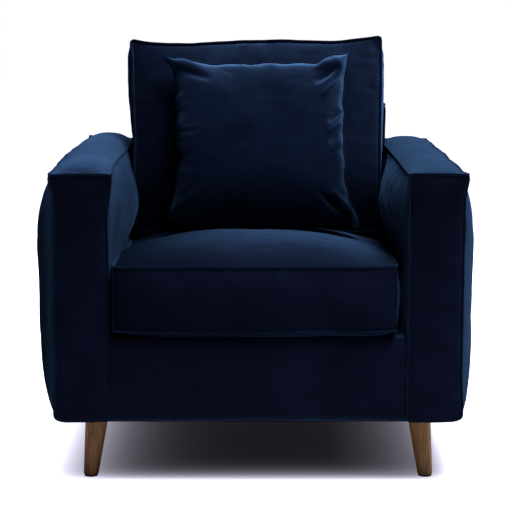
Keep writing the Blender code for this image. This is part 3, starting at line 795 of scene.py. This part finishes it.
def seat_cushion():
    """The loose seat cushion, pressed down at the back by the two cushions on it."""
    crown, bottom_swell, front_swell = 0.040, 0.0158, 0.0105
    right_swell, left_swell = 0.0115, 0.0050
    box, x, y, z = block((SEAT_LEFT, SEAT_FRONT, SEAT_LOW), (SEAT_RIGHT, SEAT_REAR, SEAT_TOP))
    u, v, w = box.uvw
    # The top is fullest towards the front and pressed down under the cushions behind.
    full = 1 - 0.72 * smooth((y + 0.19) / 0.19) - 0.20 * smooth((y - 0.04) / 0.10)
    edge = fall(u, 2.6) * np.where(v < 0, fall(v, 7), fall(v, 6))
    z = z + is_at(w, 1) * (crown * full + 0.003) * edge
    z = z - (w + 1) / 2 * 0.020 * smooth((np.abs(u) - 0.60) / 0.40) * smooth((v + 0.35) / 0.70)
    z = z - is_at(w, -1) * bottom_swell * fall(u, 12) * fall(v, 60)
    y = y - is_at(v, -1) * front_swell * fall(u, 8) * fall(w, 2)
    x = x + is_at(u, 1) * right_swell * fall(v, 16) * fall(w, 2)
    x = x - is_at(u, -1) * left_swell * fall(v, 16) * fall(w, 2)
    # The corners stick out a little, and the seams between them sag.
    out = np.abs(u) ** 12 * np.where(v < 0, np.abs(v) ** 12, 0)
    z = z + np.where(w > 0, 0.0035, -0.001) * out * np.abs(w)
    points = roughen(np.stack([x, y, z], 1), box.quads, (0.0035, 8.0, 41), (0.0014, 36.0, 43))
    held = np.where(box.sides() > 1, 0.6, 0.0)
    held[box.sides() == 3] = 1.0
    held[is_at(v, 1)] = 1.0
    held[is_at(w, -1)] = np.maximum(held[is_at(w, -1)], 0.5)
    points = relax(points, box.quads, held, 0.010, 1.2, frames=18, cap=0.008)
    points[:, 2] = np.maximum(points[:, 2], SEAT_LOWEST)
    # The rear side is flat where the zip lies.
    points[is_at(v, 1) & (np.abs(w) < 0.45), 1] = SEAT_REAR - 0.0008
    top_loop = box.loop("001 101 111 011")
    low_loop = box.loop("000 100 110 010")
    front_top = box.path("001 101")
    right_corner = box.path("100 101")
    left_corner = box.path("000 001")
    points, quads = refine(points, box.quads)

    def to_right(point):
        return 0.35 + 1.3 * smooth((point[0] - 0.02) / 0.2)

    points = pucker(points, quads, front_top, 0.0034, reach=0.032, pitch=0.022, seed=45, where=to_right)
    points = pucker(points, quads, box.path("101 111"), 0.0022, seed=46)
    points = pucker(points, quads, right_corner, 0.0030, reach=0.018, pitch=0.018, seed=47)
    points = pucker(points, quads, left_corner, 0.0020, reach=0.018, pitch=0.018, seed=48)
    # Folds run down from the top seam near the front right corner.
    for n in range(4):
        x = 0.258 - 0.030 * n
        start = (x, SEAT_FRONT - 0.008, SEAT_TOP - 0.006)
        end = (x - 0.040 + 0.004 * n, SEAT_FRONT - 0.011, SEAT_TOP - 0.040 - 0.004 * n)
        points = crease(points, quads, start, end, 0.0065, 0.0022)
    seams = [
        (top_loop, True, 0.0058),
        (low_loop, True, 0.0052),
        (right_corner, False, 0.0030, 0.0030),
        (left_corner, False, 0.0022, 0.0030),
    ]
    cushion_cover("seat_cushion", points, quads, seams, VELVET_SEAT)


def leaning(points, foot, lean):
    """From a cushion's own frame (up along its face, back through its thickness) to the row's."""
    turn = np.array(Matrix.Rotation(-lean, 3, "X"))
    return points @ turn.T + np.array(foot)


def back_cushion():
    """The loose back cushion, a little wider at its top. It is shaped upright and then leans back."""
    swell, crown, middle = 0.027, 0.006, -0.0045
    counts = [round(s / SPACING) for s in (0.566, BACK_CUSHION_DEPTH, BACK_CUSHION_HEIGHT)]
    box = Box(counts)
    u, v, w = box.uvw
    rise = (w + 1) / 2
    half = 0.2775 + 0.0075 * rise
    x = middle + u * half
    y = BACK_CUSHION_DEPTH * (v + 1) / 2
    z = BACK_CUSHION_HEIGHT * rise
    y = y + is_at(np.abs(v), 1) * v * swell * fall(u, 4) * fall(w, 4)
    # The left side bulges most near the top, and comes in a little below its corner.
    bulge = np.where(u < 0, 0.003 + 0.0185 * rise**2, 0.005 + 0.009 * rise)
    x = x + is_at(np.abs(u), 1) * u * bulge * fall(v, 6) * fall(w, 8)
    x = x + 0.0045 * np.clip(-u, 0, 1) * smooth((1 - rise) / 0.12)
    z = z + is_at(w, 1) * crown * fall(u) * fall(v, 2)
    # Underneath, the filling bulges on both sides of the zip.
    z = z - (1 - rise) ** 4 * 0.018 * (1 - np.exp(-((v / 0.30) ** 2)) * fall(u, 10))
    # The corners stand up, the right one more, and the top seam sags beside them.
    sag = 0.0045 * np.exp(-(((u + 0.62) / 0.30) ** 2)) - 0.0035 * np.exp(-(((u - 0.20) / 0.45) ** 2))
    z = z + rise**4 * (0.0085 * np.abs(u) ** 9 + 0.0075 * smooth((u - 0.55) / 0.45) - sag)
    points = roughen(np.stack([x, y, z], 1), box.quads, (0.0035, 8.0, 51), (0.0014, 36.0, 53))
    held = np.where(box.sides() > 1, 0.6, 0.0)
    held[box.sides() == 3] = 1.0
    held[is_at(w, -1)] = 1.0
    points = relax(points, box.quads, held, 0.010, 1.2, frames=18, cap=0.008)
    points[is_at(w, -1) & (np.abs(v) < 0.30) & (np.abs(u) < 0.84), 2] = 0.0008
    front = box.loop("000 100 101 001")
    rear = box.loop("010 110 111 011")
    points, quads = refine(points, box.quads)
    for ends, amount, reach, pitch, seed in (
        ("100 101", 0.0036, 0.026, 0.017, 55),
        ("000 001", 0.0026, 0.026, 0.019, 56),
        ("001 101", 0.0022, 0.024, 0.022, 57),
    ):
        points = pucker(points, quads, box.path(ends), amount, reach, pitch, seed)
    points = leaning(points, BACK_CUSHION_FOOT, RAKE)
    seams = [(front, True, 0.0078, 0.0042), (rear, True, 0.0058)]
    cushion_cover("back_cushion", points, quads, seams, VELVET_BACK, VELVET_LOW_EDGE)


def scatter_cushion():
    """Two square panels sewn at their edges and blown up by the filling. The cloth is cut larger than
    the outline that its edges are gathered to, so it puckers there."""
    count = 60
    box = Box([count, 2, count])
    u, v, w = box.uvw
    rise = (w + 1) / 2
    half_width, height, middle = 0.1815, 0.3610, 0.0065
    # The outline: nearly straight sides, stuffed corners that stick out, and a slight slant.
    tip = 0.006 * np.abs(u * w) ** 16
    upper_ear = np.where(u < 0, 0.043 * np.abs(w) ** 5, 0.026 * w**6)
    lower_ear = np.where(u < 0, 0.031, 0.050) * w**4
    half = half_width + np.where(w > 0, upper_ear, lower_ear) - tip
    half = half + 0.0012 * np.sin(w * 23 + u * 2) * (1 - w**8)
    to_right = np.clip(u, 0, 1)
    x = u * half + middle + 0.0045 * to_right * (1 - w**4) + 0.0035 * to_right
    low = np.where(u < 0, -0.002 * u**8, -0.011 * u**6)
    ear = np.where(u < 0, 0.0235 * np.abs(u) ** 5, 0.0390 * np.abs(u) ** 7)
    high = height + ear - tip + 0.0012 * np.sin(u * 17)
    z = low + (high - low) * rise
    outline = np.stack([x, v * 0.002, z], 1)
    cut = outline.copy()
    spare = 1.03
    cut[:, 0] = u * 0.2130 * spare + 0.004
    cut[:, 2] = 0.188 + w * 0.2080 * spare
    start = outline.copy()
    start[:, 1] += v * 0.036 * ((1 - u * u) * (1 - w * w) + 1e-9) ** 0.25
    start = roughen(start, box.quads, (0.005, 14.0, 61))
    rim = np.where(is_at(np.maximum(np.abs(u), np.abs(w)), 1), 1.0, 0.0)
    limp = {"stiffness": 15, "bending": 0.03}
    points = relax(start, box.quads, rim, 0, 2.6, frames=24, cap=0.05, rest=cut, **limp)
    # It is flatter behind, where it leans on the back cushion.
    front_swell, rear_swell = 0.062, 0.034
    depth = points[:, 1]
    front_depth, rear_depth = max(-depth.min(), 1e-6), max(depth.max(), 1e-6)
    points[:, 1] = np.where(depth < 0, depth * front_swell / front_depth, depth * rear_swell / rear_depth)
    loop = box.loop("000 100 101 001")
    points, quads = refine(points, box.quads)
    # The filling sags on both sides of the bottom seam, where the zip is.
    out = smooth((np.abs(points[:, 1]) - 0.006) / 0.018)
    points[:, 2] -= 0.022 * out * np.exp(-np.clip(points[:, 2], 0, 1) / 0.045)
    for ends, amount, seed in (
        ("100 101", 0.0058, 65),
        ("000 001", 0.0022, 66),
        ("001 101", 0.0035, 67),
        ("000 100", 0.0015, 68),
    ):
        points = pucker(points, quads, box.path(ends), amount, reach=0.022, pitch=0.015, seed=seed)
    # The corners are stuffed too.
    for x, z, amount in (
        (-0.186, 0.362, 0.014),
        (0.180, 0.362, 0.012),
        (0.205, 0.022, 0.012),
        (-0.185, 0.020, 0.010),
    ):
        far = (points[:, 0] - x) ** 2 + (points[:, 2] - z) ** 2
        points[:, 1] -= np.where(points[:, 1] < 0, amount, 0) * np.exp(-far / 0.024**2)
    # Folds and ridges that run in from the corners, and between them on the right.
    for start_at, end_at, width, depth in (
        ((-0.205, 0.380), (-0.105, 0.336), 0.0095, -0.0072),
        ((-0.184, 0.345), (-0.096, 0.318), 0.0075, 0.0050),
        ((0.200, 0.388), (0.130, 0.342), 0.0080, -0.0100),
        ((0.190, 0.352), (0.130, 0.312), 0.0070, 0.0095),
        ((0.190, 0.326), (0.145, 0.280), 0.0065, -0.0060),
        ((0.192, 0.250), (0.160, 0.222), 0.0055, 0.0075),
        ((0.192, 0.228), (0.158, 0.198), 0.0050, -0.0065),
        ((0.192, 0.206), (0.162, 0.176), 0.0050, 0.0070),
        ((0.192, 0.184), (0.166, 0.158), 0.0045, -0.0045),
        ((0.225, 0.002), (0.165, 0.072), 0.0085, -0.0095),
        ((0.205, 0.004), (0.140, 0.066), 0.0070, 0.0080),
        ((-0.200, 0.020), (-0.120, 0.070), 0.0110, -0.0050),
        ((-0.178, 0.200), (-0.125, 0.204), 0.0055, 0.0028),
    ):
        points = crease(points, quads, start_at, end_at, width, depth)
    # Nothing reaches down over the zip.
    groove = np.all(np.abs(points[:, :2]) < (0.178, 0.010), axis=1) & (points[:, 2] < 0.02)
    points[groove, 2] = np.maximum(points[groove, 2], 0.0010)
    points = leaning(points, SCATTER_FOOT, SCATTER_LEAN)
    seams = [(loop, True, 0.0034, 0.0026)]
    cushion_cover("scatter_cushion", points, quads, seams, VELVET_SCATTER, VELVET_LOW_EDGE)


# ---- legs and small parts


def boxes(name, centres, size, material, turn=Matrix()):
    """One mesh of equal small boxes, at centres in the frame that `turn` places."""
    verts, faces = [], []
    half = [c / 2 for c in size]
    for at in centres:
        first = len(verts)
        for n in range(8):
            corner = [at[k] + half[k] * (1 if n >> k & 1 else -1) for k in range(3)]
            verts.append(turn @ Vector(corner))
        for face in ((0, 2, 3, 1), (4, 5, 7, 6), (0, 1, 5, 4), (2, 6, 7, 3), (0, 4, 6, 2), (1, 3, 7, 5)):
            faces.append([first + n for n in face])
    return mesh_object(name, verts, faces, material, smooth_shade=False)


def zip_closure(body, middle, outward_turn, length):
    """A zip's tape and its two rows of teeth. In their own frame, Z points away from the cushion."""
    turn = Matrix.Translation(middle) @ Matrix.Rotation(outward_turn, 4, "X")
    tape = boxes(f"{body}_zip_tape", [(0, 0, 0.0004)], (length, 0.022, 0.0008), ZIP_TAPE, turn)
    pitch = 0.0026
    count = int((length - 0.012) / pitch)
    centres = [((n - count / 2) * pitch, 0.0011 * (-1) ** n, 0.0012) for n in range(count)]
    teeth = boxes(f"{body}_zip_teeth", centres, (0.0015, 0.0030, 0.0012), ZIP_METAL, turn)
    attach(tape, body)
    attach(teeth, body)


def zips():
    """One behind the seat cushion, and one under each of the other two."""
    zip_closure("seat_cushion", (0, SEAT_REAR, 0.3905), -math.pi / 2, ZIP_LENGTH)
    half_depth = BACK_CUSHION_DEPTH / 2
    x, y, z = BACK_CUSHION_FOOT
    middle = (x, y + half_depth * math.cos(RAKE), z - half_depth * math.sin(RAKE))
    zip_closure("back_cushion", middle, math.pi - RAKE, ZIP_LENGTH)
    zip_closure("scatter_cushion", SCATTER_FOOT, math.pi - SCATTER_LEAN, SCATTER_ZIP_LENGTH)


def staples():
    """The staples that hold the dust cover to the frame."""
    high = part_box("dust_cover")[1]
    inset, pitch, level = 0.004, 0.045, BASE - 0.0026
    across, deep = high.x - inset, high.y
    count = round(2 * across / pitch)
    rows = [(-across + n * 2 * across / count, y, level) for n in range(count + 1) for y in (-deep, deep)]
    count = round(2 * deep / pitch)
    sides = [(x, -deep + n * 2 * deep / count, level) for n in range(1, count) for x in (-across, across)]
    length, width, wire = 0.0095, 0.0008, 0.0009
    kinds = (("long", rows, (length, width, wire)), ("side", sides, (width, length, wire)))
    for name, centres, size in kinds:
        staple = boxes(f"dust_cover_staples_{name}", centres, size, STEEL)
        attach(staple, "chair")


def legs():
    """Round tapered legs, which splay along X and Y."""
    segments, rings = 48, 24
    for corner in ("front_left", "front_right", "rear_left", "rear_right"):
        low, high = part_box(f"leg_{corner}")
        sx = -1 if "left" in corner else 1
        sy = -1 if "front" in corner else 1
        top = Vector((sx * LEG_TOP[0], sy * LEG_TOP[1], high.z))
        foot = Vector((sx * LEG_FOOT[0], sy * LEG_FOOT[1], low.z))
        verts, faces = [], []
        for ring in range(rings + 1):
            t = ring / rings
            centre = foot.lerp(top, t)
            radius = LEG_FOOT_RADIUS + (LEG_TOP_RADIUS - LEG_FOOT_RADIUS) * t
            for k in range(segments):
                angle = 2 * math.pi * k / segments
                x = centre.x + radius * math.cos(angle)
                y = centre.y + radius * math.sin(angle)
                verts.append((x, y, centre.z))
        for ring in range(rings):
            for k in range(segments):
                a, b = ring * segments + k, ring * segments + (k + 1) % segments
                faces.append((a, b, b + segments, a + segments))
        faces.append(tuple(range(segments - 1, -1, -1)))
        faces.append(tuple(rings * segments + k for k in range(segments)))
        made = mesh_object(f"tapered_leg_{corner}", verts, faces, LEG_WOOD)
        bevel = made.modifiers.new("foot_edge", "BEVEL")
        bevel.width, bevel.segments, bevel.limit_method = 0.0012, 3, "ANGLE"
        bevel.angle_limit = math.radians(60)
        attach(made, "chair")
        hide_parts(f"leg_{corner}")


def dust_cover():
    """Thin cloth stretched under the frame. It sags a little, and laps past its solid at the edges."""
    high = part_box("dust_cover")[1]
    reach = (high.x + 0.002, high.y + 0.006)

    def place(s, t):
        u, v = 2 * s - 1, 2 * t - 1
        x, y = reach[0] * u, reach[1] * v
        sag = 0.0018 * (1 - u * u) * (1 - v * v)
        ripple = 0.0007 * noise.noise(Vector((x * 16, y * 16, 2)))
        return x, y, BASE - 0.0020 - sag + ripple

    made = sheet_mesh("underside_dust_cover", (60, 58), place, False, UNDERSIDE)
    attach(made, "chair")
    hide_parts("dust_cover")


def finish_nodes():
    """Materials for the frame's own pieces."""
    looks = {
        "frame_wood": FRAME_WOOD,
        "steel": STEEL,
        "zip_metal": ZIP_METAL,
        "glide_plastic": GLIDE,
        "filling": FOAM,
        "webbing": WEBBING,
        "velvet": VELVET,
        "leg_wood": LEG_WOOD,
        "deck_cloth": LINING,
        "underside_cloth": UNDERSIDE,
    }
    slots = {s["node"]: s["material_slot"] for s in frame["record"]["subparts"]}
    for name, node in frame["nodes"].items():
        node.data.materials.clear()
        node.data.materials.append(looks[slots[name]])


# ---- room, light and camera


def room():
    """A white studio: a floor and a bright background."""
    # Only the camera sees the floor's glow, so it throws no extra light up under the chair. The glow is
    # painted light that shapes the shadow under the chair, and the bluer floor and glow colours seen by the
    # camera give that shadow a painted blue tint.
    m = Nodes("floor_white", Roughness=0.9, Specular_IOR_Level=0.0)
    seen = m.add("ShaderNodeLightPath").outputs["Is Camera Ray"]
    m.link(m.mix(seen, (0.62, 0.62, 0.64), (0.66, 0.645, 0.78)), "Base Color")
    axes = m.add("ShaderNodeSeparateXYZ", {0: m.place()}).outputs

    def glow(axis, edge, softness, sign, level):
        """Painted light, seen only by the camera, that stands for light leaking in under one side of the
        chair and grows to white outside it.
        """
        inside = m.math("MULTIPLY", m.math("SUBTRACT", axes[axis], edge), sign / softness)
        return m.math("MULTIPLY", m.math("EXPONENT", inside, 0), level)

    painted_floor_light = (
        glow("X", -0.345, 0.055, -1, 0.30),
        glow("X", 0.300, 0.031, 1, 0.030),
        glow("Y", -0.262, 0.026, -1, 0.045),
        glow("Y", 0.400, 0.050, 1, 0.10),
    )
    # A faint painted glow all over, which lifts the shadow under the chair.
    total = 0.0050
    for leak in painted_floor_light:
        total = m.math("ADD", leak, total)
    total = m.math("MINIMUM", total, 1.3)
    m.shader.inputs["Emission Color"].default_value = (0.84, 0.825, 1.0, 1)
    m.link(m.math("MULTIPLY", total, seen), "Emission Strength")
    bpy.ops.mesh.primitive_circle_add(vertices=96, radius=14, fill_type="NGON")
    floor = bpy.context.object
    floor.name = "floor"
    floor.data.materials.append(m.material)

    # The camera sees a white background, which throws little light on the chair.
    world = bpy.data.worlds.new("studio")
    SCENE.world = world
    world.use_nodes = True
    tree = world.node_tree
    background = tree.nodes["Background"]
    background.inputs["Color"].default_value = (1, 1, 1, 1)
    seen = tree.nodes.new("ShaderNodeLightPath")
    strength = tree.nodes.new("ShaderNodeMapRange")
    tree.links.new(seen.outputs["Is Camera Ray"], strength.inputs["Value"])
    strength.inputs["To Min"].default_value = 0.05
    tree.links.new(strength.outputs["Result"], background.inputs["Strength"])


def area(name, at, aim, size, power):
    light = bpy.data.lights.new(name, "AREA")
    light.shape = "RECTANGLE"
    light.size, light.size_y = size
    light.energy = power
    made = bpy.data.objects.new(name, light)
    made.location = at
    made.rotation_euler = (Vector(aim) - Vector(at)).to_track_quat("-Z", "Y").to_euler()
    made.visible_camera = False
    SCENE.collection.objects.link(made)


def lights():
    area("top_softbox", (0.8, -0.9, 2.9), (0, -0.1, 0.3), (1.5, 1.8), 150)
    area("back_softbox", (0.2, 2.6, 2.3), (0, 0, 0.5), (1.6, 1.2), 175)
    area("side_softbox", (2.6, 0.1, 1.9), (0, 0, 0.4), (1.0, 1.0), 10)


def camera():
    lens = bpy.data.cameras.new("camera")
    lens.lens, lens.sensor_width = 117.8, 36
    made = bpy.data.objects.new("camera", lens)
    made.location = (-0.0042, -3.695, 1.0)
    made.rotation_euler = (math.radians(90 - 9), 0, 0)  # tilted down by 9 degrees
    SCENE.collection.objects.link(made)
    SCENE.camera = made


SCENE.view_settings.view_transform = "Standard"
finish_nodes()
arm("left", -1)
arm("right", 1)
border()
back()
deck()
seat_cushion()
back_cushion()
scatter_cushion()
legs()
dust_cover()
staples()
zips()
room()
lights()
camera()
